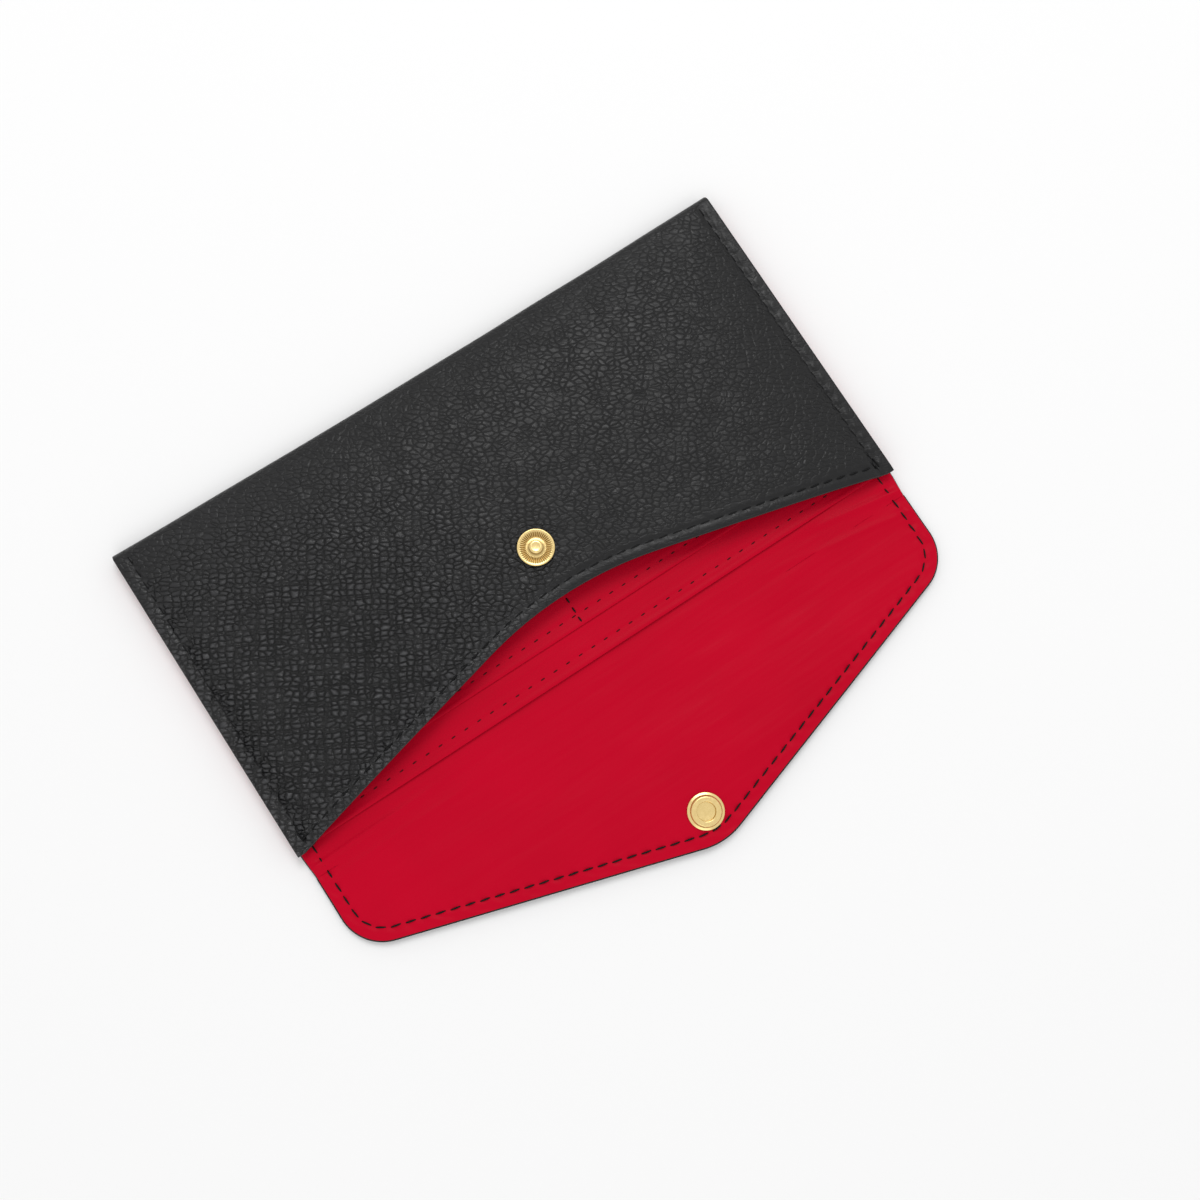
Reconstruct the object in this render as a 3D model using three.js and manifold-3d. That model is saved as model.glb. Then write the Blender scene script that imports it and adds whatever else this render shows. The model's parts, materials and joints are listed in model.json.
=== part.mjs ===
// A long envelope wallet, lying on its back with the snap flap folded open.
// Millimetres. +X runs along the length, +Y from the flap fold to the bottom fold, +Z up.
// The origin is on the table, under the middle of the flap's first fold.
import * as THREE from "three";
import { mergeVertices } from "three/addons/utils/BufferGeometryUtils.js";
import Module from "manifold-3d";

// Outline of the body
const length = 194;
const depth = 96;
const corner_radius = 2;
const seam_inset = 3.8;

// Sheets, from the back leather up to the front leather
const leather = 1.1;
const lining = 0.5;
const slot_leather = 0.45;
const sheet_gap = 0.1;
const lining_inset = 0.4;

// How far the front and the slot panels bulge away from the back
const front_crown = 4.9;
const slot_crown = 0.4;
const crown_power = 6;

// Edges of the mouth and the slots, measured from the flap's first fold
const mouth_slope = 0.245;
const mouth_half = 95;
const mouth_radius = 110;
const card_panel_edge = 1.2;
const upper_pocket_edge = 11;
const lower_pocket_edge = 21;
const upper_pocket_depth = 54;
const lower_pocket_depth = 54;

// Flap and the strip between its two folds
const fold_line = -1;
const fold_gap = 0.3;
const flap_side_inset = 0.5;
const flap_reach = 58.6;
const flap_corner_radius = 13;
const flap_tip_radius = 20;
const flap_slope = 0.3134;

// Snap
const stud_place = 35;
const stud_radius = 5.2;
const stud_rim_height = 0.72;
const stud_head_radius = 2;
const stud_neck_radius = 1.45;
const stud_height = 1.6;
const rivet_radius = 3.6;
const rivet_flange = 0.35;
const shank_radius = 1.3;
const shank_clearance = 0.3;
const cap_radius = 5.8;
const cap_height = 1.1;
const socket_radius = 5.2;
const socket_height = 1.8;
const socket_floor = 0.25;
const socket_wall = 1.4;
const snap_clearance = 0.7;
const seat_gap = 0.15;
const spring_width = 0.35;
const spring_height = 0.5;
const spring_clearance = 0.15;

// Facets
const along_steps = 22;
const across_steps = 16;
const turned_segments = 40;

// Levels of the stack where it isn't crowned
const half_length = length / 2;
const seam_x = half_length - seam_inset;
const lining_reach = half_length - lining_inset;
const flap_half_width = half_length - flap_side_inset;
const back_lining_z = leather + sheet_gap;
const card_panel_z = back_lining_z + lining + sheet_gap;
const upper_pocket_z = card_panel_z + slot_leather + sheet_gap;
const lower_pocket_z = upper_pocket_z + slot_leather + sheet_gap;
const front_lining_z = lower_pocket_z + slot_leather + sheet_gap;
const front_z = front_lining_z + lining + sheet_gap;
const stack = front_z + leather;
const fold_radius = stack / 2;
const fold_centre = depth - fold_radius;
const lining_end = fold_centre - sheet_gap;
const crown_end = fold_centre;
const flap_sheet = back_lining_z + lining;

// The bulge is a plateau that falls to nothing at the side seams and the bottom fold.
function crown(x, y) {
  const across = Math.min(Math.abs(x) / seam_x, 1);
  const down = Math.min(Math.max(y, 0) / crown_end, 1);
  return (1 - across ** crown_power) * (1 - down ** crown_power);
}

// Places of the snap and the folds that follow from it
const stud_seat = stack + front_crown * crown(0, stud_place) + sheet_gap;
const closed_lining = stud_seat + stud_rim_height + seat_gap + socket_height + sheet_gap;
const spine_width = closed_lining + cap_height + sheet_gap - flap_sheet;
const second_fold = fold_line - spine_width;
const socket_place = second_fold - (stud_place - fold_line);
const flap_rise = cap_height + sheet_gap;

const black_leather = () =>
  new THREE.MeshStandardMaterial({ color: "#2b2b2d", roughness: 0.6, metalness: 0 });
const red_lining = () =>
  new THREE.MeshStandardMaterial({ color: "#bd0327", roughness: 0.45, metalness: 0 });
const pale_brass = () =>
  new THREE.MeshStandardMaterial({ color: "#cdb67e", roughness: 0.25, metalness: 1 });

const wasm = await Module();
wasm.setup();

function solid(geometry) {
  const bare = geometry.clone();
  bare.deleteAttribute("normal");
  bare.deleteAttribute("uv");
  const merged = mergeVertices(bare, 1e-4);
  return new wasm.Manifold(
    new wasm.Mesh({
      numProp: 3,
      vertProperties: new Float32Array(merged.attributes.position.array),
      triVerts: new Uint32Array(merged.index.array),
    }),
  );
}

function geometryOf(made) {
  const mesh = made.getMesh();
  const geometry = new THREE.BufferGeometry();
  geometry.setAttribute("position", new THREE.BufferAttribute(mesh.vertProperties, 3));
  geometry.setIndex(new THREE.BufferAttribute(mesh.triVerts, 1));
  geometry.computeVertexNormals();
  return geometry;
}

// A section drawn across the wallet, Y to the right and Z up, run along its length.
function runAlong(section, steps, reach) {
  const geometry = new THREE.ExtrudeGeometry(section, {
    depth: 2 * reach,
    steps,
    bevelEnabled: false,
    curveSegments: 6,
  });
  geometry.translate(0, 0, -reach);
  const turn = new THREE.Matrix4().makeBasis(
    new THREE.Vector3(0, 1, 0),
    new THREE.Vector3(0, 0, 1),
    new THREE.Vector3(1, 0, 0),
  );
  return geometry.applyMatrix4(turn);
}

function lift(geometry, height) {
  const place = geometry.attributes.position;
  for (let i = 0; i < place.count; i++) {
    place.setZ(i, place.getZ(i) + height(place.getX(i), place.getY(i), place.getZ(i)));
  }
  return geometry;
}

// A flat outline seen from above, made into an upright block between two heights.
function block(outline, low, high) {
  const geometry = new THREE.ExtrudeGeometry(outline, {
    depth: high - low,
    bevelEnabled: false,
    curveSegments: 10,
  });
  return solid(geometry.translate(0, 0, low));
}

function bodyOutline() {
  const outline = new THREE.Shape();
  outline.moveTo(-half_length, fold_line);
  outline.lineTo(half_length, fold_line);
  outline.lineTo(half_length, depth - corner_radius);
  outline.absarc(half_length - corner_radius, depth - corner_radius, corner_radius, 0, Math.PI / 2);
  outline.lineTo(corner_radius - half_length, depth);
  outline.absarc(
    corner_radius - half_length,
    depth - corner_radius,
    corner_radius,
    Math.PI / 2,
    Math.PI,
  );
  return outline;
}

// The mouth: two straight edges that meet in a broad round scoop.
function mouthOutline() {
  const tilt = Math.atan(mouth_slope);
  const touch = mouth_radius * Math.sin(tilt);
  const touch_y = mouth_slope * (mouth_half - touch);
  const centre_y = touch_y - mouth_radius * Math.cos(tilt);
  const outline = new THREE.Shape();
  outline.moveTo(-length, -depth);
  outline.lineTo(length, -depth);
  outline.lineTo(length, 0);
  outline.lineTo(mouth_half, 0);
  outline.lineTo(touch, touch_y);
  outline.absarc(0, centre_y, mouth_radius, Math.PI / 2 - tilt, Math.PI / 2 + tilt);
  outline.lineTo(-mouth_half, 0);
  outline.lineTo(-length, 0);
  return outline;
}

// The flap: short straight sides, round corners, slanting edges and a round tip.
function flapOutline(inset) {
  const half = flap_half_width - inset;
  const tilt = Math.atan(flap_slope);
  const tip_y = -flap_reach + inset;
  const tip_radius = flap_tip_radius - inset;
  const tip_centre = tip_y + tip_radius;
  const radius = flap_corner_radius - inset;
  const corner_x = half - radius;
  const slant_at_zero = tip_centre - tip_radius / Math.cos(tilt);
  const corner_y = slant_at_zero + flap_slope * corner_x + radius / Math.cos(tilt);
  const down = -Math.PI / 2;
  const outline = new THREE.Shape();
  outline.moveTo(half, depth);
  outline.lineTo(-half, depth);
  outline.lineTo(-half, corner_y);
  outline.absarc(-corner_x, corner_y, radius, Math.PI, Math.PI - down - tilt);
  outline.absarc(0, tip_centre, tip_radius, down - tilt, down + tilt);
  outline.absarc(corner_x, corner_y, radius, down + tilt, 0);
  return outline;
}

function rod(radius, low, high, y) {
  const geometry = new THREE.CylinderGeometry(radius, radius, high - low, turned_segments);
  geometry.rotateX(Math.PI / 2);
  return solid(geometry.translate(0, y, (low + high) / 2));
}

// A turned piece, from its radius and height along the profile.
function turned(profile, y, z) {
  const points = profile.map(([radius, height]) => new THREE.Vector2(radius, height));
  const geometry = new THREE.LatheGeometry(points, turned_segments);
  geometry.rotateX(Math.PI / 2);
  return geometry.translate(0, y, z);
}

// A flat sheet between two lines across the wallet.
function sheet(start, end, low, thickness, reach) {
  const geometry = new THREE.BoxGeometry(2 * reach, end - start, thickness);
  return geometry.translate(0, (start + end) / 2, low + thickness / 2);
}

// The top of every crowned block is drawn at the same stations, so all of them are parallel.
function addStations(section, height) {
  for (let i = across_steps; i >= 0; i--) section.lineTo((fold_centre * i) / across_steps, height);
}

function raiseTop(section, middle, crown_height) {
  return solid(
    lift(runAlong(section, along_steps, half_length), (x, y, z) => (z > middle ? crown_height * crown(x, y) : 0)),
  );
}

// Everything from a flat floor up to a crowned top.
function crownedBlock(floor, top, crown_height) {
  const section = new THREE.Shape();
  section.moveTo(0, floor);
  section.lineTo(fold_centre, floor);
  addStations(section, top);
  return raiseTop(section, (floor + top) / 2, crown_height);
}

function crownedSheet(start, end, low, thickness, reach, crown_height) {
  const whole = crownedBlock(0, low + thickness, crown_height);
  const under = crownedBlock(-leather, low, crown_height);
  const area = solid(sheet(start, end, -leather, depth, reach));
  return whole.subtract(under).intersect(area);
}

// The wallet's section inside or outside its outer leather, with the bottom fold.
function foldedBlock(inset, start) {
  const section = new THREE.Shape();
  section.moveTo(start, inset);
  section.lineTo(fold_centre, inset);
  section.absarc(fold_centre, fold_radius, fold_radius - inset, -Math.PI / 2, Math.PI / 2);
  addStations(section, stack - inset);
  section.lineTo(start, stack - inset);
  return raiseTop(section, fold_radius, front_crown);
}

// Outer leather of the body: the back, the bottom fold and the front in one strip.
function outerLeather() {
  const strip = foldedBlock(0, fold_line).subtract(foldedBlock(leather, fold_line - leather));
  const mouth = block(mouthOutline(), fold_radius, depth);
  const hole = rod(shank_radius + shank_clearance, fold_radius, depth, stud_place);
  const outline = block(bodyOutline(), -leather, depth);
  return geometryOf(strip.intersect(outline).subtract(mouth).subtract(hole));
}

function frontLining() {
  const made = crownedSheet(0, lining_end, front_lining_z, lining, lining_reach, front_crown);
  const mouth = block(mouthOutline(), 0, depth);
  const hole = rod(shank_radius + shank_clearance, 0, depth, stud_place);
  return geometryOf(made.subtract(mouth).subtract(hole));
}

function backLining() {
  return sheet(fold_line, lining_end, back_lining_z, lining, lining_reach);
}

function cardPanel() {
  const low = card_panel_z;
  return geometryOf(crownedSheet(card_panel_edge, lining_end, low, slot_leather, lining_reach, slot_crown));
}

function upperPocket() {
  const end = upper_pocket_edge + upper_pocket_depth;
  const low = upper_pocket_z;
  return geometryOf(crownedSheet(upper_pocket_edge, end, low, slot_leather, lining_reach, slot_crown));
}

function lowerPocket() {
  const end = lower_pocket_edge + lower_pocket_depth;
  const low = lower_pocket_z;
  return geometryOf(crownedSheet(lower_pocket_edge, end, low, slot_leather, lining_reach, slot_crown));
}

// The strip between the two folds stands up against the wallet's edge when the flap is shut.
function spineSheet(low, thickness, inset) {
  const start = second_fold + fold_gap / 2;
  const end = fold_line - fold_gap;
  return sheet(start, end, low, thickness, flap_half_width - inset);
}

// Seen from the side the flap rises from the fold until the cap fits under it.
function flapSheet(low, thickness, inset) {
  const start = second_fold - fold_gap / 2;
  const steps = 8;
  const height = (i) => {
    const t = Math.min(i / (steps - 2), 1);
    return low + flap_rise * t * t * (3 - 2 * t);
  };
  const flat_start = socket_place + cap_radius;
  const place = (i) => (i < steps - 1 ? start + ((flat_start - start) * i) / (steps - 2) : -depth);
  const section = new THREE.Shape();
  section.moveTo(place(0), height(0) + thickness);
  for (let i = 1; i < steps; i++) section.lineTo(place(i), height(i) + thickness);
  for (let i = steps - 1; i >= 0; i--) section.lineTo(place(i), height(i));
  const strip = solid(runAlong(section, 1, length));
  const hole = rod(shank_radius + shank_clearance, -leather, depth, socket_place);
  return geometryOf(strip.intersect(block(flapOutline(inset), -leather, depth)).subtract(hole));
}

function snapStud() {
  const profile = [
    [0, 0],
    [stud_radius - 0.2, 0],
    [stud_radius, 0.2],
    [stud_radius - 0.1, stud_rim_height - 0.15],
    [stud_radius - 0.4, stud_rim_height],
    [stud_radius - 0.8, stud_rim_height - 0.1],
    [stud_head_radius + 1.1, 0.3],
    [stud_head_radius + 0.2, 0.34],
    [stud_neck_radius + 0.2, 0.5],
    [stud_neck_radius, 0.75],
    [stud_neck_radius, stud_height - 0.85],
    [stud_head_radius, stud_height - 0.6],
    [stud_head_radius, stud_height - 0.25],
    [stud_head_radius - 0.3, stud_height],
    [0, stud_height],
  ];
  return turned(profile, stud_place, stud_seat);
}

// The rivet's flange lies inside the front lining and its shank holds the stud.
function studRivet() {
  const top = stud_seat - seat_gap;
  const lining_low = front_lining_z + front_crown * crown(0, stud_place);
  const low = lining_low - sheet_gap - rivet_flange;
  const profile = [
    [0, 0],
    [rivet_radius - 0.1, 0],
    [rivet_radius, 0.1],
    [rivet_radius, rivet_flange],
    [shank_radius, rivet_flange],
    [shank_radius, top - low],
    [0, top - low],
  ];
  return turned(profile, stud_place, low);
}

function snapCap() {
  const lining_top = flap_rise + flap_sheet;
  const profile = [
    [0, 0],
    [cap_radius - 1.6, 0],
    [cap_radius - 0.6, 0.2],
    [cap_radius - 0.1, 0.6],
    [cap_radius, cap_height - 0.15],
    [cap_radius - 0.1, cap_height],
    [shank_radius, cap_height],
    [shank_radius, lining_top + sheet_gap - seat_gap],
    [0, lining_top + sheet_gap - seat_gap],
  ];
  return turned(profile, socket_place, 0);
}

function snapSocket() {
  const bore = stud_head_radius + snap_clearance;
  const cavity = bore + spring_clearance + spring_width;
  const profile = [
    [0, 0],
    [socket_radius - 0.1, 0],
    [socket_radius, 0.1],
    [socket_radius - 0.3, 0.45],
    [cavity + socket_wall, 0.5],
    [cavity + socket_wall - 0.2, socket_height - 0.2],
    [cavity + socket_wall - 0.5, socket_height],
    [bore + 0.2, socket_height],
    [bore + 0.1, socket_height - 0.2],
    [cavity, socket_height - 0.3],
    [cavity, socket_floor],
    [0, socket_floor],
  ];
  return turned(profile, socket_place, flap_rise + flap_sheet + sheet_gap);
}

function socketSpring() {
  const inner = stud_head_radius + snap_clearance;
  const outer = inner + spring_width;
  const profile = [
    [inner, 0],
    [outer, 0],
    [outer, spring_height],
    [inner, spring_height],
    [inner, 0],
  ];
  const low = flap_rise + flap_sheet + sheet_gap + socket_floor + spring_clearance;
  return turned(profile, socket_place, low);
}

const wallet = new THREE.Group();
function place(name, geometry, material) {
  const mesh = new THREE.Mesh(geometry, material);
  mesh.name = name;
  wallet.add(mesh);
}

place("outer_leather", outerLeather(), black_leather());
place("front_lining", frontLining(), red_lining());
place("back_lining", backLining(), red_lining());
place("card_panel", cardPanel(), red_lining());
place("card_pocket_upper", upperPocket(), red_lining());
place("card_pocket_lower", lowerPocket(), red_lining());
place("spine_leather", spineSheet(0, leather, 0), black_leather());
place("spine_lining", spineSheet(back_lining_z, lining, lining_inset), red_lining());
place("flap_leather", flapSheet(0, leather, 0), black_leather());
place("flap_lining", flapSheet(back_lining_z, lining, lining_inset), red_lining());
place("snap_stud", snapStud(), pale_brass());
place("stud_rivet", studRivet(), pale_brass());
place("snap_cap", snapCap(), pale_brass());
place("snap_socket", snapSocket(), pale_brass());
place("socket_spring", socketSpring(), pale_brass());

export default wallet;
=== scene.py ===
"""Looks for a long envelope wallet that lies on its back with its snap flap open.

Sizes are in millimetres until a finished piece is brought to metres.
"""
import json
import math
from functools import partial

import bmesh
import bpy
from mathutils import Euler, Matrix, Vector, noise


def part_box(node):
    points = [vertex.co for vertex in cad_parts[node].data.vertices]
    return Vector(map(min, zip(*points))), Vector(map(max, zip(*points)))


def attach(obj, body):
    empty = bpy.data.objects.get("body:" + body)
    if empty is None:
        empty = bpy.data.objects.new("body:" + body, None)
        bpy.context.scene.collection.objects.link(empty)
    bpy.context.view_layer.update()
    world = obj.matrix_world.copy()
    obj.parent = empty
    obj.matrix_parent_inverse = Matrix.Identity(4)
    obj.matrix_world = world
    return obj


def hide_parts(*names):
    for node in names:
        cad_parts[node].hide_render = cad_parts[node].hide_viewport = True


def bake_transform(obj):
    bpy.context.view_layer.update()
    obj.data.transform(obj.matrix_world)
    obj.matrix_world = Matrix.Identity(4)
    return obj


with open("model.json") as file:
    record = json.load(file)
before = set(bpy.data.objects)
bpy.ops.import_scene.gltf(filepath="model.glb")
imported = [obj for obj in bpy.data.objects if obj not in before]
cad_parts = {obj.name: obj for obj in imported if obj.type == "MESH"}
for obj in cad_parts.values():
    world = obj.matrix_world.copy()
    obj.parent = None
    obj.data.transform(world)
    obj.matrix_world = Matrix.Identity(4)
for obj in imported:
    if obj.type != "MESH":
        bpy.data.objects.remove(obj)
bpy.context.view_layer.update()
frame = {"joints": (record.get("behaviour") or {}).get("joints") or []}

bl_info = {
    "name": "Envelope wallet",
    "version": (1, 0, 0),
    "blender": (4, 5, 0),
    "location": "View3D > Sidebar > Wallet",
    "description": "Builds the leather, lining, stitching and press stud of an open envelope wallet",
    "category": "Add Mesh",
}

MM = 0.001
BODY = "wallet_body"
SPINE = "spine"
FLAP = "flap"


def node_box(node):
    """A node's lowest and highest corner in millimetres."""
    low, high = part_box(node)
    return Vector(low) / MM, Vector(high) / MM


body_high = node_box("outer_leather")[1]
flap_low, flap_high = node_box("flap_leather")
stud_middle = sum(node_box("snap_stud"), Vector()) / 2
cap_high = node_box("snap_cap")[1]
fold_joint, flap_joint = (Vector(joint["pos_m"]) / MM for joint in frame["joints"][:2])
UP = Vector((0, 0, 1))
DOWN = Vector((0, 0, -1))

# The body in millimetres; a slope is its rise over its run
HALF_LENGTH = body_high.x
DEPTH = body_high.y
SHEET_GAP = 0.1
LINING_INSET = 0.4
CROWN_POWER = 6
MOUTH_SLOPE = 0.245
MOUTH_TILT = math.atan(MOUTH_SLOPE)
MOUTH_HALF = 95
MOUTH_RADIUS = 110
SLOT_NODES = ("card_panel", "card_pocket_upper", "card_pocket_lower")
SLOT_CROWN = 0.4
FOLD_BOW = 0.9
# Strip along a free edge whose rows lie closer together
MARGIN = 6

# The spine and the flap in millimetres
SPINE_MIDDLE = (fold_joint.y + flap_joint.y) / 2
FLAP_CORNER_RADIUS = 13
FLAP_TIP_RADIUS = 20
FLAP_SLOPE = 0.3134
FLAP_RISE = 1.2

# Sewing in millimetres: how far the rows lie from the edges, and the stitches' own sizes
SEAM_INSET = 3.8
MOUTH_SEAM_INSET = 3.0
FLAP_SEAM_INSET = 3.7
SLOT_SEAM_INSET = 3.3
STITCH_DIP = 0.5
SUNK = -0.3
SLOT_STITCH = 1.9
SLOT_THREAD = 0.36
COLUMN_PITCH = 3.1
COLUMN_STITCH = 2.3

# Relief in millimetres: how deep sewing draws the leather in, and how high it stands beside it
SEAM_PUCKER = 0.6
MOUTH_PUCKER = 0.4
FLAP_PUCKER = 0.2
SEAM_WAVE = 0.24
MOUTH_WAVE = 0.18
FLAP_WAVE = 0.14
WAVE_PLACE = 1.0
WAVE_REACH = 0.6
SLOW_WAVE = 0.35
SLOW_WAVE_LENGTH = 34
STUD_DENT = 0.25

# The grain, with widths in millimetres, and the middle and the reach of its blocky end
PEBBLE = 1.4
FINE_PEBBLE = 0.85
PEBBLE_ROW = 3.9
GRAIN_STRETCH = 1.55
GRAIN_TURN = math.radians(-31)
GRAIN_WARP = 1.2
GRAIN_HEIGHT = 0.2
BLOCKY_MIDDLE = (-80, 30)
BLOCKY_REACH = (75, 60)
# The flat pattern's coordinates count in this many millimetres
PATTERN_MM = 100

# The stud's fluted ring, from its inner to its outer radius in millimetres
FLUTES = 45
FLUTED_RING = (2.6, 4.5)
FLUTE_HEIGHT = 0.1

# Camera and light in metres, degrees and watts; the lens and the sensor in millimetres
CAMERA_PLACE = (-0.03375, -0.01588, 0.35403)
CAMERA_TURN = (7.7518, -2.9348, -33.2716)
CAMERA_LENS = 38.73
SENSOR_WIDTH = 36
FLOOR_HALF = 3
WORLD_LIGHT = 0.74
LAMPS = (
    ("window", (0.38, 0.62, 1.25), 0.6, 5.8),
    ("fill", (-0.6, -0.95, 1.1), 0.8, 1.7),
)


def size_in_mm(name, description, default, low, high):
    return bpy.props.FloatProperty(name=name, description=description, default=default, min=low, max=high)


def hex_colour(name, description, default):
    return bpy.props.StringProperty(name=name, description=description, default=default)


class WalletSizes(bpy.types.PropertyGroup):
    """Sizes that a user would change, in mm."""

    leather: size_in_mm("Leather", "Thickness of the outer leather", 1.1, 0.6, 1.6)
    lining: size_in_mm("Lining", "Thickness of the lining", 0.5, 0.3, 0.8)
    slot_leather: size_in_mm("Slot leather", "Thickness of the slot panels", 0.45, 0.3, 0.6)
    crown: size_in_mm("Bulge", "How far the front bulges", 4.9, 0, 5)
    stitch_pitch: size_in_mm("Stitch pitch", "From one stitch to the next", 4.1, 2.5, 6)
    stitch_length: size_in_mm("Stitch length", "Length of thread that shows", 3.7, 1.5, 5)
    thread: size_in_mm("Thread", "Thickness of the thread", 0.5, 0.3, 1)


class WalletColours(bpy.types.PropertyGroup):
    """Colours that a user would change, as sRGB hex values."""

    leather: hex_colour("Leather", "Top of the pebbles", "#121213")
    # Painted highlight: a paler colour painted on the pebbles' tops where the grain is blocky
    blocky_top_highlight: hex_colour("Blocky grain", "Top of the pebbles where the grain is blocky", "#4c4c4e")
    # Painted shade: the darker colour painted into the creases between pebbles
    painted_crease_shade: hex_colour("Crease", "Creases between pebbles", "#0a0a0b")
    edge: hex_colour("Edge", "Paint on the cut edges", "#1a1618")
    lining: hex_colour("Lining", "Lining and slots", "#c60027")
    lining_shade: hex_colour("Lining shade", "Darker clouds in the lining", "#ba0022")
    thread: hex_colour("Thread", "Sewing on the leather", "#070708")
    # Partly painted shade: the slot rows' thread is red, with its colour darkened to the shade of its sunken
    # stitches
    shaded_slot_thread: hex_colour("Slot thread", "Sewing of the slots", "#3c0209")
    brass: hex_colour("Brass", "Press stud", "#e8cf94")
    brass_shade: hex_colour("Brass shade", "Rubbed brass", "#dcbf7e")
    # Painted shade: the darker colour painted under the stud's head, in its bowl and between its flutes
    painted_hollow_shade: hex_colour("Tarnish", "Hollows of the stud", "#7a5a26")
    floor: hex_colour("Floor", "Surface under the wallet", "#fafafa")


def sizes():
    return bpy.context.scene.wallet_sizes


def colours():
    return bpy.context.scene.wallet_colours


def levels():
    """Heights of the stacked sheets' undersides where they don't bulge, and of the front's top."""
    size = sizes()
    back_lining = size.leather + SHEET_GAP
    card_panel = back_lining + size.lining + SHEET_GAP
    upper = card_panel + size.slot_leather + SHEET_GAP
    lower = upper + size.slot_leather + SHEET_GAP
    front_lining = lower + size.slot_leather + SHEET_GAP
    return {
        "back_lining": back_lining,
        "card_panel": card_panel,
        "card_pocket_upper": upper,
        "card_pocket_lower": lower,
        "front_lining": front_lining,
        "top": front_lining + size.lining + SHEET_GAP + size.leather,
    }


def fold_radius():
    return levels()["top"] / 2


def fold_centre():
    return DEPTH - fold_radius()


def crown(x, y):
    """Share of the bulge at a place: a plateau that falls off at the seams and the bottom fold."""
    across = min(abs(x) / (HALF_LENGTH - SEAM_INSET), 1)
    down = min(max(y, 0) / fold_centre(), 1)
    return (1 - across**CROWN_POWER) * (1 - down**CROWN_POWER)


def mouth_edge(x):
    """Where the scooped mouth of the front lies at a place along the length."""
    touch = MOUTH_RADIUS * math.sin(MOUTH_TILT)
    touch_y = MOUTH_SLOPE * (MOUTH_HALF - touch)
    if abs(x) >= touch:
        return max(MOUTH_SLOPE * (MOUTH_HALF - abs(x)), 0)
    return touch_y - MOUTH_RADIUS * math.cos(MOUTH_TILT) + math.sqrt(MOUTH_RADIUS**2 - x * x)


def from_mouth(x, y):
    """How far a place of the front lies from the mouth's edge."""
    return (y - mouth_edge(x)) * math.cos(MOUTH_TILT)


class FlapOutline:
    """The flap's outline moved in by an inset, from its right side round the tip to its left side."""

    def __init__(self, inset=0):
        self.half = flap_high.x - inset
        self.tilt = math.atan(FLAP_SLOPE)
        self.radius = FLAP_CORNER_RADIUS - inset
        self.tip_radius = FLAP_TIP_RADIUS - inset
        self.tip_centre = flap_low.y + inset + self.tip_radius
        self.slant_at_zero = self.tip_centre - self.tip_radius / math.cos(self.tilt)
        self.corner_x = self.half - self.radius
        slant_at_corner = self.slant_at_zero + FLAP_SLOPE * self.corner_x
        self.corner_y = slant_at_corner + self.radius / math.cos(self.tilt)
        self.tip_touch = self.tip_radius * math.sin(self.tilt)
        self.slant_end = self.corner_x + self.radius * math.sin(self.tilt)

    def low_edge(self, x):
        x = min(abs(x), self.half)
        if x < self.tip_touch:
            return self.tip_centre - math.sqrt(self.tip_radius**2 - x * x)
        if x < self.slant_end:
            return self.slant_at_zero + FLAP_SLOPE * x
        return self.corner_y - math.sqrt(max(self.radius**2 - (x - self.corner_x) ** 2, 0))

    def distance(self, x, y):
        """How far a place lies inside the outline."""
        x = abs(x)
        side = self.half - x
        slant = (y - self.slant_at_zero - FLAP_SLOPE * x) * math.cos(self.tilt)
        near = min(side, slant)
        if x > self.corner_x and y < self.corner_y:
            away = Vector((x - self.corner_x, y - self.corner_y))
            if math.atan2(away.x, -away.y) > self.tilt:
                near = self.radius - away.length
        if x < self.tip_touch and y < self.tip_centre:
            near = min(near, self.tip_radius - math.hypot(x, y - self.tip_centre))
        return near

    def path(self, start_y, steps=24):
        """Points along the right half of the outline, from a height on its side to the tip."""
        points = [Vector((self.half, start_y))]
        corner = (self.corner_x, self.corner_y, self.radius, math.pi / 2, self.tilt)
        tip = (0, self.tip_centre, self.tip_radius, self.tilt, 0)
        for x, y, radius, first, last in (corner, tip):
            for i in range(steps + 1):
                turn = first + (last - first) * i / steps
                points.append(Vector((x + radius * math.sin(turn), y - radius * math.cos(turn))))
        return points


def smooth_step(t):
    t = min(max(t, 0), 1)
    return t * t * (3 - 2 * t)


def flap_lift(y):
    """The flap rises from its fold until the cap fits under it."""
    return FLAP_RISE * smooth_step((flap_high.y - y) / (flap_high.y - cap_high.y))


def spread(low, high, step):
    """Evenly spaced places from low to high, about a step apart."""
    count = max(1, round(abs(high - low) / step))
    return [low + (high - low) * i / count for i in range(count + 1)]


def columns(half, edge, fine, coarse):
    """Places along the length that are closer together near both ends."""
    right = spread(half - edge, half, fine)
    middle = spread(edge - half, half - edge, coarse)
    left = [-x for x in reversed(right)]
    return left[:-1] + middle + right[1:]


def ripple(x, y, scale, seed):
    return noise.noise(Vector((x / scale, y / scale, seed)))


def bell(distance, reach):
    """1 on a line, and less on both sides of it."""
    return math.exp(-((distance / reach) ** 2))


def stitch_wave(along, shift):
    """A wave from -1 to 1 that rises once for each stitch."""
    return math.sin(2 * math.pi * along / sizes().stitch_pitch + shift)


def pucker(distance, along, depth, reach):
    """How deep sewn leather is drawn in at a place beside a row of stitches."""
    beat = 0.72 + 0.28 * math.cos(2 * math.pi * along / sizes().stitch_pitch)
    return -depth * beat * bell(distance, reach)


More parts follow.
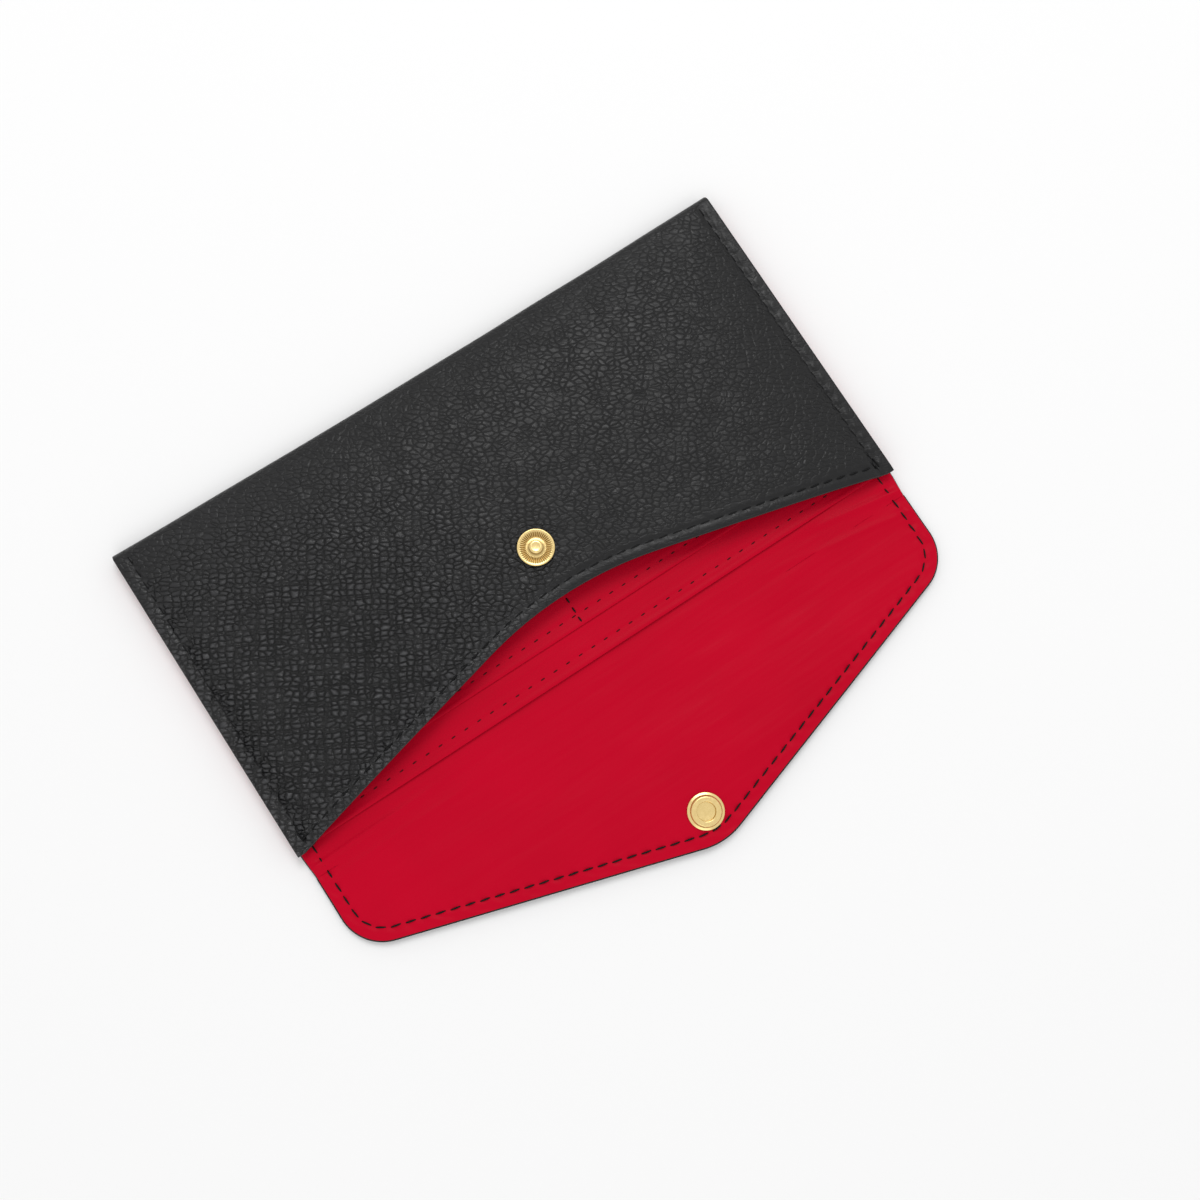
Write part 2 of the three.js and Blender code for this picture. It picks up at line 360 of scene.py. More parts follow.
def grid_sheet(us, vs, place, attributes=None):
    """A sheet on a grid of places; place gives each one's point and its place in the flat pattern."""
    bm = bmesh.new()
    pattern = bm.loops.layers.uv.new("pattern")
    layers = {name: bm.verts.layers.float.new(name) for name in (attributes or {})}
    bmesh.ops.create_grid(bm, x_segments=len(us) - 1, y_segments=len(vs) - 1, size=1)
    bm.verts.index_update()
    flat = {}
    for vert in bm.verts:
        u = us[round((vert.co.x + 1) / 2 * (len(us) - 1))]
        v = vs[round((vert.co.y + 1) / 2 * (len(vs) - 1))]
        vert.co, flat[vert.index] = place(u, v)
        for name, layer in layers.items():
            vert[layer] = attributes[name](vert.co)
    for face in bm.faces:
        for loop in face.loops:
            loop[pattern].uv = Vector(flat[loop.vert.index]) / PATTERN_MM
    return bm


def face_towards(bm, direction, where=None):
    """Turns a sheet's faces over if most of them look away from a direction."""
    bm.normal_update()
    seen = [face for face in bm.faces if where is None or where(face.calc_center_median())]
    if sum(face.normal.dot(direction) * face.calc_area() for face in seen) < 0:
        bmesh.ops.reverse_faces(bm, faces=bm.faces)


def give_wall(bm, wall, rim=0.2, plain=None, towards=None):
    """Gives a sheet its thickness behind its faces, or towards one side, and rounds its cut edges.

    Cut edges for which plain is true meet another sheet, so they stay square.
    """
    bm.normal_update()
    skin = set(bm.faces)
    if towards:
        made = bmesh.ops.extrude_face_region(bm, geom=bm.faces[:], use_keep_orig=True)["geom"]
        moved = [each for each in made if isinstance(each, bmesh.types.BMVert)]
        bmesh.ops.translate(bm, vec=towards * wall, verts=moved)
        bmesh.ops.recalc_face_normals(bm, faces=bm.faces)
    else:
        bmesh.ops.solidify(bm, geom=bm.faces[:], thickness=wall)
    bm.normal_update()
    cut = {
        face
        for face in bm.faces
        if face not in skin and any(other in skin for edge in face.edges for other in edge.link_faces)
    }
    if plain:
        cut = {face for face in cut if not all(plain(vert.co) for vert in face.verts)}
    for face in cut:
        face.material_index = 1
    border = [edge for edge in bm.edges if sum(face in cut for face in edge.link_faces) == 1]
    if rim:
        round_edge = {"offset_type": "OFFSET", "affect": "EDGES", "segments": 2, "profile": 0.5}
        made = bmesh.ops.bevel(bm, geom=border, offset=rim, material=-1, clamp_overlap=True, **round_edge)
        for face in made["faces"]:
            face.material_index = 1


def add_object(name, data):
    thing = bpy.data.objects.new(name, data)
    bpy.context.collection.objects.link(thing)
    return thing


def new_piece(name, bm, body, finishes, replaced=(), sharp_angle=40, bend=None):
    """Turns a mesh in millimetres into a piece in metres.

    It rides on a body, or, where a bend is given, stands unparented in the world.
    """
    bmesh.ops.scale(bm, vec=(MM, MM, MM), verts=bm.verts)
    bm.normal_update()
    for edge in bm.edges:
        edge.smooth = not (edge.is_manifold and edge.calc_face_angle(0) > math.radians(sharp_angle))
    for face in bm.faces:
        face.smooth = True
    mesh = bpy.data.meshes.new(name)
    bm.to_mesh(mesh)
    bm.free()
    piece = add_object(name, mesh)
    for finish in finishes:
        mesh.materials.append(finish_of(finish))
    if bend:
        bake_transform(piece)
    else:
        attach(piece, body)
    if replaced:
        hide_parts(*replaced)


# Materials


def linear(code):
    """sRGB hex to the linear colour that a shader takes."""
    channels = [int(code[i : i + 2], 16) / 255 for i in (1, 3, 5)]
    return [c / 12.92 if c <= 0.04045 else ((c + 0.055) / 1.055) ** 2.4 for c in channels] + [1.0]


def add_node(tree, kind, links=None, **settings):
    """Adds a node, sets its properties and sockets, and links sockets from other nodes."""
    node = tree.nodes.new(kind)
    for name, value in settings.items():
        if hasattr(node, name):
            setattr(node, name, value)
        else:
            node.inputs[name].default_value = value
    for socket, source in (links or {}).items():
        tree.links.new(source, node.inputs[socket])
    return node


def new_material(name, base, roughness, specular=0.5, metallic=0.0):
    """A material with its tree and its surface node."""
    material = bpy.data.materials.new(name)
    material.use_nodes = True
    tree = material.node_tree
    surface = tree.nodes["Principled BSDF"]
    surface.inputs["Base Color"].default_value = linear(base)
    surface.inputs["Roughness"].default_value = roughness
    surface.inputs["Specular IOR Level"].default_value = specular
    surface.inputs["Metallic"].default_value = metallic
    return material, tree, surface


def grey(value):
    return (value, value, value, 1)


def ramp(tree, source, *stops):
    """Maps a value through stops, each a position and a grey value."""
    node = add_node(tree, "ShaderNodeValToRGB", {"Fac": source})
    first, last = node.color_ramp.elements
    first.position, first.color = stops[0][0], grey(stops[0][1])
    last.position, last.color = stops[-1][0], grey(stops[-1][1])
    for position, value in stops[1:-1]:
        node.color_ramp.elements.new(position).color = grey(value)
    return node.outputs["Color"]


def maths(tree, operation, first, second):
    """A sum on two numbers, each given or from another node."""
    node = add_node(tree, "ShaderNodeMath", operation=operation)
    for socket, value in zip(node.inputs, (first, second)):
        if isinstance(value, (int, float)):
            socket.default_value = value
        else:
            tree.links.new(value, socket)
    return node.outputs["Value"]


def one_less(tree, share, amount=1):
    """1 where a share is 0, and lower by an amount where it is 1."""
    return maths(tree, "SUBTRACT", 1, maths(tree, "MULTIPLY", share, amount))


def mixed(tree, factor, first, second):
    """Blends two colours, each a hex value or from another node."""
    node = add_node(tree, "ShaderNodeMix", {"Factor": factor}, data_type="RGBA")
    for socket, colour in (("A", first), ("B", second)):
        if isinstance(colour, str):
            node.inputs[socket].default_value = linear(colour)
        else:
            tree.links.new(colour, node.inputs[socket])
    return node.outputs["Result"]


def speckle(tree, where, width, detail=2, flat=True, output="Fac"):
    """Soft noise with spots of about a width in mm, on the flat pattern or through the solid."""
    node = add_node(
        tree,
        "ShaderNodeTexNoise",
        {"Vector": where},
        noise_dimensions="2D" if flat else "3D",
        Scale=PATTERN_MM / width if flat else 1 / (width * MM),
        Detail=detail,
    )
    return node.outputs[output]


def pattern_place(tree):
    return add_node(tree, "ShaderNodeUVMap", uv_map="pattern").outputs["UV"]


def solid_place(tree):
    return add_node(tree, "ShaderNodeTexCoord").outputs["Object"]


def share_of(tree, name):
    """A share that the mesh carries at each of its points."""
    return add_node(tree, "ShaderNodeAttribute", attribute_name=name).outputs["Fac"]


def give_bump(tree, surface, height, distance, strength=1):
    """Raises a surface by a height whose whole range is a distance in mm."""
    bump = add_node(tree, "ShaderNodeBump", {"Height": height}, Strength=strength, Distance=distance * MM)
    tree.links.new(bump.outputs["Normal"], surface.inputs["Normal"])


def pebbled_leather():
    """Full-grain cowhide, drum-dyed: dark pebbles between fine creases whose walls glint, with painted shade
    in the creases.

    Where the grain is blocky, its pebbles are domed and stand in rows, and a painted highlight makes them
    paler on top.
    """
    colour = colours()
    material, tree, surface = new_material("pebbled_full_grain_leather", colour.leather, 0.5, 0.27)
    times = partial(maths, tree, "MULTIPLY")
    plus = partial(maths, tree, "ADD")
    less = partial(one_less, tree)
    pattern = pattern_place(tree)
    turned = {"Rotation": (0, 0, GRAIN_TURN), "Scale": (GRAIN_STRETCH, 1, 1)}
    grain = add_node(tree, "ShaderNodeMapping", {"Vector": pattern}, vector_type="TEXTURE", **turned)
    grain = grain.outputs["Vector"]
    warp = speckle(tree, grain, 3, 3, output="Color")
    bent = add_node(tree, "ShaderNodeVectorMath", {0: warp, 2: grain}, operation="MULTIPLY_ADD")
    bent.inputs[1].default_value = (GRAIN_WARP / PATTERN_MM, GRAIN_WARP / PATTERN_MM, 0)
    bent = bent.outputs["Vector"]
    pressed = share_of(tree, "pressed")
    blocky = share_of(tree, "blocky")
    regular = less(blocky, 0.45)

    def cells(width):
        """How far a place lies from the creases between pebbles of a width in mm."""
        links = {"Vector": bent, "Randomness": regular}
        shape = {"voronoi_dimensions": "2D", "feature": "DISTANCE_TO_EDGE"}
        node = add_node(tree, "ShaderNodeTexVoronoi", links, **shape, Scale=PATTERN_MM / width)
        return node.outputs["Distance"]

    pebble = cells(PEBBLE)
    # Height from a crease to a pebble's top, domed where the grain is blocky and flat elsewhere
    domed = ramp(tree, pebble, (0, 0), (0.06, 0.35), (0.22, 0.7), (0.5, 1))
    flat = ramp(tree, pebble, (0, 0), (0.08, 0.5), (0.2, 0.92), (0.36, 1))
    coarse = plus(times(domed, blocky), times(flat, less(blocky)))
    between_rows = less(ramp(tree, cells(PEBBLE_ROW), (0, 0), (0.06, 0.55), (0.16, 1)))
    coarse = times(coarse, less(times(between_rows, blocky), 0.7))
    fine = ramp(tree, cells(FINE_PEBBLE), (0, 0), (0.15, 0.7), (0.4, 1))
    patch = ramp(tree, speckle(tree, pattern, 7, 3), (0.32, 0.45), (0.6, 1))
    finer = ramp(tree, speckle(tree, pattern, 5), (0.4, 0), (0.65, 0.4))
    depth = times(less(pressed), patch)
    height = plus(coarse, times(fine, finer))
    height = times(times(height, plus(0.85, times(blocky, 3.5))), depth)
    height = plus(height, times(speckle(tree, bent, 0.5), 0.1))
    height = plus(height, times(speckle(tree, bent, 1.1, 3), times(blocky, 2.6)))
    height = plus(height, times(speckle(tree, bent, 2.2, 1), 0.5))
    give_bump(tree, surface, height, GRAIN_HEIGHT)

    # Painted highlight: where the grain is blocky, the pebbles' tops are painted paler, as if lit
    pale = times(blocky, ramp(tree, coarse, (0.4, 0), (1, 1)))
    tops_with_highlight = mixed(tree, pale, colour.leather, colour.blocky_top_highlight)
    # Painted shade: creases take the darker crease colour, while pebble tops and pressed strips keep the top
    # colour
    out_of_crease_shade = plus(times(coarse, depth), times(pressed, 0.8))
    tree.links.new(mixed(tree, out_of_crease_shade, colour.painted_crease_shade, tops_with_highlight), surface.inputs["Base Color"])
    shine = ramp(tree, speckle(tree, bent, 1.3, 3), (0.3, 0.28), (0.7, 0.46))
    tree.links.new(times(shine, regular), surface.inputs["Roughness"])
    return material


def edge_paint():
    """Black edge paint on cut leather: a thin, smooth, slightly glossy skin."""
    material, tree, surface = new_material("black_edge_paint", colours().edge, 0.45)
    give_bump(tree, surface, speckle(tree, solid_place(tree), 0.4, flat=False), 0.04, 0.4)
    return material


def lining_leather():
    """Thin red lining leather, plated smooth: an even colour, a satin shine and soft drawn creases."""
    colour = colours()
    material, tree, surface = new_material("smooth_red_lining_leather", colour.lining, 0.42, 0.06)
    pattern = pattern_place(tree)
    along = add_node(tree, "ShaderNodeMapping", {"Vector": pattern}, Scale=(0.12, 1, 1)).outputs["Vector"]
    creases = maths(tree, "MULTIPLY", speckle(tree, along, 5), 3)
    skin = speckle(tree, pattern, 0.35, 3)
    height = maths(tree, "ADD", creases, maths(tree, "MULTIPLY", skin, 0.12))
    give_bump(tree, surface, height, 0.12, 0.8)
    cloud = mixed(tree, speckle(tree, pattern, 30), colour.lining_shade, colour.lining)
    tree.links.new(cloud, surface.inputs["Base Color"])
    shine = ramp(tree, skin, (0.3, 0.36), (0.7, 0.5))
    tree.links.new(shine, surface.inputs["Roughness"])
    return material


def waxed_thread(name, colour):
    """Bonded polyester thread, twisted and waxed, with a faint shine on its strands."""
    material, tree, surface = new_material(name, colour, 0.5, 0.15)
    give_bump(tree, surface, speckle(tree, solid_place(tree), 0.35, flat=False), 0.08, 0.7)
    return material


def plated_brass():
    """Stamped brass with a pale gold plating: bright, with faint rubbing marks and painted shade under its
    head, in its bowl and between its flutes.
    """
    colour = colours()
    material, tree, surface = new_material("pale_gold_plated_brass", colour.brass, 0.2, metallic=1)
    marks = speckle(tree, solid_place(tree), 0.8, 4, flat=False)
    shine = ramp(tree, marks, (0.3, 0.16), (0.7, 0.3))
    tree.links.new(shine, surface.inputs["Roughness"])
    plating = mixed(tree, marks, colour.brass_shade, colour.brass)
    # Painted shade: the plating is darkened under the head, in the bowl and between the flutes
    shaded_plating = mixed(tree, share_of(tree, "painted_shade"), plating, colour.painted_hollow_shade)
    tree.links.new(shaded_plating, surface.inputs["Base Color"])
    return material


MAKERS = {
    "leather": pebbled_leather,
    "edge": edge_paint,
    "lining": lining_leather,
    "thread": lambda: waxed_thread("bonded_polyester_thread_black", colours().thread),
    # Partly painted shade: red thread darkened in its colour to the shade of its sunken stitches
    "shaded_slot_thread": lambda: waxed_thread("bonded_polyester_thread_red_with_painted_shade", colours().shaded_slot_thread),
    "brass": plated_brass,
}
made_materials = {}


def finish_of(name):
    if name not in made_materials:
        made_materials[name] = MAKERS[name]()
    return made_materials[name]


# Leather and lining


def seam_relief(x, y):
    """Puckers along the side seams of the body, and the flattened strip outside them."""
    inside = HALF_LENGTH - SEAM_INSET - abs(x)
    relief = pucker(inside, y, depth=SEAM_PUCKER, reach=0.8)
    wave = stitch_wave(y, 1.3 + 0.8 * ripple(y, 3.0, 9, 2.9))
    relief += SEAM_WAVE * wave * bell(abs(inside) - WAVE_PLACE, WAVE_REACH)
    if inside < 0:
        relief -= 0.12 * smooth_step(-inside / SEAM_INSET)
    return relief


def front_relief(x, y):
    """The front's own unevenness: sewn rows, the pressed mouth edge and slow waves."""
    away = from_mouth(x, y)
    relief = seam_relief(x, y)
    if abs(x) < HALF_LENGTH - SEAM_INSET:
        relief += pucker(away - MOUTH_SEAM_INSET, x, depth=MOUTH_PUCKER, reach=0.7)
        wave = stitch_wave(x, 0.9 * ripple(x, 5.0, 9, 6.1))
        relief += MOUTH_WAVE * wave * bell(away - MOUTH_SEAM_INSET - WAVE_PLACE, WAVE_REACH)
    relief -= 0.2 * bell(away, 1.2)
    relief += SLOW_WAVE * crown(x, y) * ripple(x, y, SLOW_WAVE_LENGTH, 1.7)
    from_stud = math.hypot(x - stud_middle.x, y - stud_middle.y)
    return relief - STUD_DENT * (bell(from_stud, 8) + math.exp(-((from_stud / 4.6) ** 6)))


def pressed_share(place):
    """1 where the grain is pressed flat: at the edges, along the sewing and round the bottom fold."""
    x, y, z = place
    on_front = z > fold_radius()
    edge = 1 - smooth_step((HALF_LENGTH - SEAM_INSET + 1 - abs(x)) / 4)
    if on_front:
        width = 3.4 + 1.2 * smooth_step((x + 20) / 80)
        edge = max(edge, 1 - smooth_step((from_mouth(x, y) - width) / 2))
    edge = max(edge, 0.55 * smooth_step((y - DEPTH + 12) / 12))
    rough_end = 0.8 + 0.2 * smooth_step((x + 70) / 70) if on_front else 1
    return min(max(edge * 0.8 * rough_end, 0), 1)


def blocky_share(place):
    """1 towards the left end of the front, where the grain is blocky."""
    x, y, z = place
    away = math.hypot(*((a - m) / reach for a, m, reach in zip((x, y), BLOCKY_MIDDLE, BLOCKY_REACH)))
    return smooth_step(1.25 - away) if z > fold_radius() else 0


def spine_narrowing(y):
    """How much a sheet narrows from the body to the flap, as a share of its width."""
    return 1 - (1 - flap_high.x / HALF_LENGTH) * smooth_step(y / SPINE_MIDDLE)


def body_leather():
    """Front, bottom fold and back of the outer leather as one strip, with the first half of the spine."""
    size = sizes()
    top = levels()["top"]
    radius = fold_radius()
    centre = fold_centre()
    arc = math.pi * radius
    # Each part's first and last place, in mm or as a share of it, and about how far its rows are apart
    parts = (
        ("mouth", 0, MARGIN, 0.6),
        ("front", 0, 1, 1.05 / centre),
        ("fold", 0, 1, 0.1),
        ("back", 1, 0, 1.4 / centre),
        ("spine", 0, SPINE_MIDDLE, 0.35),
    )
    rows = [("mouth", 0)]
    rows += [(part, v) for part, low, high, step in parts for v in spread(low, high, step)[1:]]

    def place(x, row):
        part, v = row
        start = mouth_edge(x)
        bowed = centre - FOLD_BOW * (1 - (x / HALF_LENGTH) ** 2)
        if part in ("mouth", "front"):
            y = start + v if part == "mouth" else start + MARGIN + (bowed - start - MARGIN) * v
            return Vector((x, y, top + size.crown * crown(x, y) + front_relief(x, y))), (x, y)
        if part == "fold":
            turn = math.pi * v
            grow = 1 + 0.06 * ripple(x, 8 * v, 26, 4.2)
            y = bowed + radius * grow * math.sin(turn) * 0.97
            return Vector((x, y, radius + radius * math.cos(turn))), (x, bowed + arc * v)
        y = v * bowed if part == "back" else v
        z = 0.0
        if abs(x) > HALF_LENGTH - 2 * SEAM_INSET:
            z = -min(pucker(HALF_LENGTH - SEAM_INSET - abs(x), y, depth=0.2, reach=0.8), 0)
        return Vector((x * spine_narrowing(y), y, z)), (x, 2 * bowed + arc - y)

    shares = {"pressed": pressed_share, "blocky": blocky_share}
    bm = grid_sheet(columns(HALF_LENGTH, 7, 0.6, 1.1), rows, place, shares)
    face_towards(bm, UP, lambda middle: middle.z > radius)
    give_wall(bm, size.leather, 0.22, lambda co: co.y < SPINE_MIDDLE + 0.01)
    finishes = ["leather", "edge"]
    bend = (BODY, SPINE, fold_joint)
    new_piece("outer_leather_skin", bm, BODY, finishes, ["outer_leather"], bend=bend)


def flap_columns(outline):
    """Places along the flap's length that follow its round corners."""
    steps = 16
    corner = [
        outline.corner_x + outline.radius * math.sin(outline.tilt + (math.pi / 2 - outline.tilt) * i / steps)
        for i in range(steps + 1)
    ]
    right = corner[:-1] + [outline.half - out for out in (0.012, 0)]
    middle = spread(-corner[0], corner[0], 0.8)
    return [-x for x in reversed(right)][:-1] + middle + right[1:]


def flap_sheet(name, outline, surface, towards, wall, finishes, replaced, attributes=None):
    """One sheet of the flap, from the middle of the spine to the flap's outline."""
    hinge_zone = flap_joint.y - 1.4
    rows = [("spine", v) for v in spread(SPINE_MIDDLE, hinge_zone, 0.35)]
    rows += [("flap", v) for v in spread(0, 1, 0.06)[1:]]
    rows += [("margin", v) for v in spread(MARGIN, 0.6, 0.5)[1:] + [0.4, 0.25, 0.14, 0.06, 0.015, 0]]
    rim = wall * 0.4 if towards is UP else 0.12

    def place(x, row):
        part, v = row
        low = outline.low_edge(x)
        y = v
        if part == "flap":
            y = hinge_zone + (low + MARGIN - hinge_zone) * v
        if part == "margin":
            y = low + v
        away = min(max(outline.distance(x, y) / rim, 0), 1)
        round_off = rim * (1 - math.sqrt(1 - (1 - away) ** 2))
        return Vector((x, y, surface(x, y) - towards.z * round_off)), (x, y)

    bm = grid_sheet(flap_columns(outline), rows, place, attributes)
    face_towards(bm, towards)
    give_wall(bm, wall, 0, lambda co: co.y > SPINE_MIDDLE - 0.01, -towards)
    new_piece(name, bm, FLAP, finishes, replaced, bend=(SPINE, FLAP, flap_joint))


def flap_row_relief(x, y):
    """The groove of the sewn row that goes round the flap and up to the body."""
    outline = FlapOutline()
    away = outline.distance(x, y) - FLAP_SEAM_INSET
    along = -y if y > outline.corner_y else (HALF_LENGTH - abs(x)) / math.cos(outline.tilt)
    wave = stitch_wave(along, 0.8 * ripple(x, y, 6, 7.7))
    return pucker(away, along, depth=FLAP_PUCKER, reach=0.7) + FLAP_WAVE * wave * bell(away, 1.3)


# Drawn creases beside the fold: side, place at the end, depth in mm and slope
LINING_CREASES = (
    (-1, -4.5, 0.525, 0.02),
    (-1, -9.5, 0.3, 0.02),
    (1, -5.5, 0.45, 0.16),
    (1, -12, 0.225, 0.16),
)


def lining_relief(x, y):
    """Unevenness of the lining from the flap's tip to a little way under the card panel."""
    away = FlapOutline(LINING_INSET).distance(x, y)
    soft = 0.2 * ripple(x * 0.28, y, 5.5, 8.1) * smooth_step(away / 10)
    drawn = 0.28 * math.exp(-((away - 1.4) ** 2) / 2) * ripple(x + y, away, 2.4, 3.3)
    creases = 0
    for side, place, depth, slope in LINING_CREASES:
        line = place + (HALF_LENGTH - side * x) * slope
        creases += depth * smooth_step((side * x - 35) / 55) * bell(y - line, 0.9)
    return (soft + drawn + creases + flap_row_relief(x, y)) * smooth_step((8 - y) / 8)


def flap_pieces():
    """The flap's leather, whose grain faces down while it lies open, and its red lining."""
    size = sizes()
    outer = FlapOutline()
    top = levels()["back_lining"] + size.lining

    def outer_surface(x, y):
        return flap_lift(y) - flap_row_relief(x, y)

    def lining_surface(x, y):
        return flap_lift(y) + top + lining_relief(x, y)

    def flap_pressed(place):
        return 1 - smooth_step(outer.distance(place.x, place.y) / 5)

    inner = FlapOutline(LINING_INSET)
    pressed = {"pressed": flap_pressed}
    for kind, outline, surface, towards, wall, slot, shares in (
        ("leather", outer, outer_surface, DOWN, size.leather, "black_leather", pressed),
        ("lining", inner, lining_surface, UP, size.lining, "red_lining", None),
    ):
        nodes = [f"flap_{kind}", f"spine_{kind}"]
        flap_sheet(f"{nodes[0]}_skin", outline, surface, towards, wall, [kind, "edge"], nodes, shares)


def lining_sheet(name, start, end, top, bulge, relief, wall, node, bent=False):
    """A red sheet across the wallet, from an edge that start gives along the length to a straight end."""

    def place(x, v):
        begin = start(x)
        y = begin + v if v < MARGIN else begin + MARGIN + (end - begin - MARGIN) * (v - MARGIN)
        if bent:
            x *= spine_narrowing(y)
        return Vector((x, y, top + bulge * crown(x, y) + relief(x, y - begin))), (x, y)

    rows = spread(0, MARGIN, 0.4)[:-1] + [MARGIN + v for v in spread(0, 1, 0.03)]
    bm = grid_sheet(columns(HALF_LENGTH - LINING_INSET, 5, 0.8, 1.8), rows, place)
    face_towards(bm, UP)
    plain = (lambda co: co.y < SPINE_MIDDLE + 0.01) if bent else None
    give_wall(bm, wall, wall * 0.35, plain)
    bend = (BODY, SPINE, fold_joint) if bent else None
    new_piece(name, bm, BODY, ["lining", "lining"], [node], bend=bend)


def linings():
    """Back lining, which goes on over the fold, and front lining."""
    size = sizes()
    end = fold_centre() - SHEET_GAP

    def back_relief(x, away):
        return lining_relief(x, SPINE_MIDDLE + away)

    def front_edge(x):
        return mouth_edge(x) + 0.5

    def front_relief_inside(x, away):
        return -0.3 - 0.2 * bell(away, 1.5)

    for node, start, bulge, relief, bent in (
        ("back_lining", lambda x: SPINE_MIDDLE, 0, back_relief, True),
        ("front_lining", front_edge, size.crown, front_relief_inside, False),
    ):
        top = levels()[node] + size.lining
        lining_sheet(f"{node}_skin", start, end, top, bulge, relief, size.lining, node, bent)


def slots():
    """The panel and the two rows of slots, each with a turned edge."""
    wall = sizes().slot_leather

    def turned_edge(x, away):
        bead = 0.16 * math.exp(-((away - 0.7) ** 2) / 0.5)
        row = pucker(away - SLOT_SEAM_INSET, x, depth=0.1, reach=0.6)
        column = pucker(x, away, depth=0.12, reach=0.7)
        return bead + row + column + 0.05 * ripple(x, away, 9, 5)

    for node in SLOT_NODES:
        low, high = node_box(node)
        edge = low.y
        top = levels()[node] + wall
        lining_sheet(f"{node}_skin", lambda x: edge, high.y, top, SLOT_CROWN, turned_edge, wall, node)


# Sewing


def walk(points, pitch, length, start=0.0):
    """Both ends of each stitch along a line of points."""
    gaps = [(b - a).length for a, b in zip(points, points[1:])]
    total = sum(gaps)

    def at(distance):
        for a, b, gap in zip(points, points[1:], gaps):
            if distance <= gap:
                return a.lerp(b, distance / gap)
            distance -= gap
        return points[-1]

    count = int((total - start - length) / pitch) + 1
    return [(at(start + i * pitch), at(start + i * pitch + length)) for i in range(count)]


def with_points_between(points, step=1.0):
    """The same line with points no further apart than a step."""
    line = [points[0]]
    for a, b in zip(points, points[1:]):
        count = max(1, math.ceil((b - a).length / step))
        line += [a.lerp(b, i / count) for i in range(1, count + 1)]
    return line


def add_stitch(bm, first, last, up, proud, turn, thick):
    """One stitch: a plump thread whose two ends dip into their holes."""
    radius = thick / 2
    along = (last - first).normalized()
    side = up.cross(along).normalized()
    basis = Matrix((along, side, along.cross(side))).transposed() @ Matrix.Rotation(turn, 3, "Z")
    half = (last - first).length / 2 - radius * 0.4
    middle = (first + last) / 2
    tip_up = Matrix.Rotation(math.pi / 2, 3, "Y")
    made = bmesh.ops.create_uvsphere(bm, u_segments=8, v_segments=8, radius=radius)
    for vert in made["verts"]:
        local = tip_up @ vert.co
        stretch = local.x / radius
        local.x = half * stretch
        local.z += proud - STITCH_DIP * abs(stretch) ** 5
        vert.co = middle + basis @ local


def sewing(name, body, rows, bend=None, thread="thread", thick=None):
    """All stitches of some rows as one piece; a row is its stitches' ends, its up and how proud it lies."""
    bm = bmesh.new()
    for number, (stitches, up, proud) in enumerate(rows):
        for i, (first, last) in enumerate(stitches):
            turn = math.radians(4 + 3 * noise.noise(Vector((i * 1.7, number, 2.2))))
            add_stitch(bm, first, last, up, proud, turn, thick or sizes().thread)
    new_piece(name, bm, body, [thread], sharp_angle=80, bend=bend)


def front_top(x, y):
    return levels()["top"] + sizes().crown * crown(x, y) + front_relief(x, y)


def body_sewing():
    """Rows round the mouth and down both sides, on the front and on the back."""
    pitch, length = sizes().stitch_pitch, sizes().stitch_length
    reach = HALF_LENGTH - SEAM_INSET + 0.8
    mouth = []
    for x in spread(-reach, reach, 1):
        y = mouth_edge(x) + MOUTH_SEAM_INSET / math.cos(MOUTH_TILT)
        mouth.append(Vector((x, y, front_top(x, y))))
    sewing("mouth_stitching", BODY, [(walk(mouth, pitch, length), UP, 0.1)])
    for side, name in ((-1, "left_side_stitching"), (1, "right_side_stitching")):
        x = side * (HALF_LENGTH - SEAM_INSET)
        places = spread(0.8, fold_centre() + 0.5, 1)
        front = [Vector((x, y, front_top(x, y))) for y in places]
        back = [Vector((x, y, 0)) for y in places]
        # The seam starts with a few stitches sewn twice.
        again = [Vector((x + side * 0.5, y, front_top(x, y) + 0.1)) for y in spread(1.4, 9, 1)]
        rows = [
            (walk(front, pitch, length), UP, 0.12),
            (walk(back, pitch, length), DOWN, SUNK),
            (walk(again, pitch, length, 1.2), UP, 0.2),
        ]
        sewing(name, BODY, rows)


def flap_sewing():
    """The row round the flap, on the lining and on the leather, with its ends on the spine and the body."""
    pitch, length = sizes().stitch_pitch, sizes().stitch_length
    outline = FlapOutline(FLAP_SEAM_INSET)
    level = levels()["back_lining"] + sizes().lining
    rows = {"spine_stitching": [], "flap_stitching": []}
    for up, proud, start in ((UP, 0.13, 1.6), (DOWN, SUNK, -0.4)):
        right = outline.path(start)
        left = [Vector((-p.x, p.y)) for p in reversed(right[:-1])]
        path = []
        for p in with_points_between(right + left):
            height = flap_lift(p.y) + (level + lining_relief(p.x, p.y) if up is UP else 0)
            path.append(Vector((p.x, p.y, height)))
        stitches = walk(path, pitch, length)
        near = [pair for pair in stitches if pair[0].y + pair[1].y > 2 * SPINE_MIDDLE]
        far = [pair for pair in stitches if pair[0].y + pair[1].y <= 2 * SPINE_MIDDLE]
        rows["spine_stitching"].append((near, up, proud))
        rows["flap_stitching"].append((far, up, proud))
    sewing("spine_stitching", SPINE, rows["spine_stitching"], (BODY, SPINE, fold_joint))
    sewing("flap_stitching", FLAP, rows["flap_stitching"], (SPINE, FLAP, flap_joint))


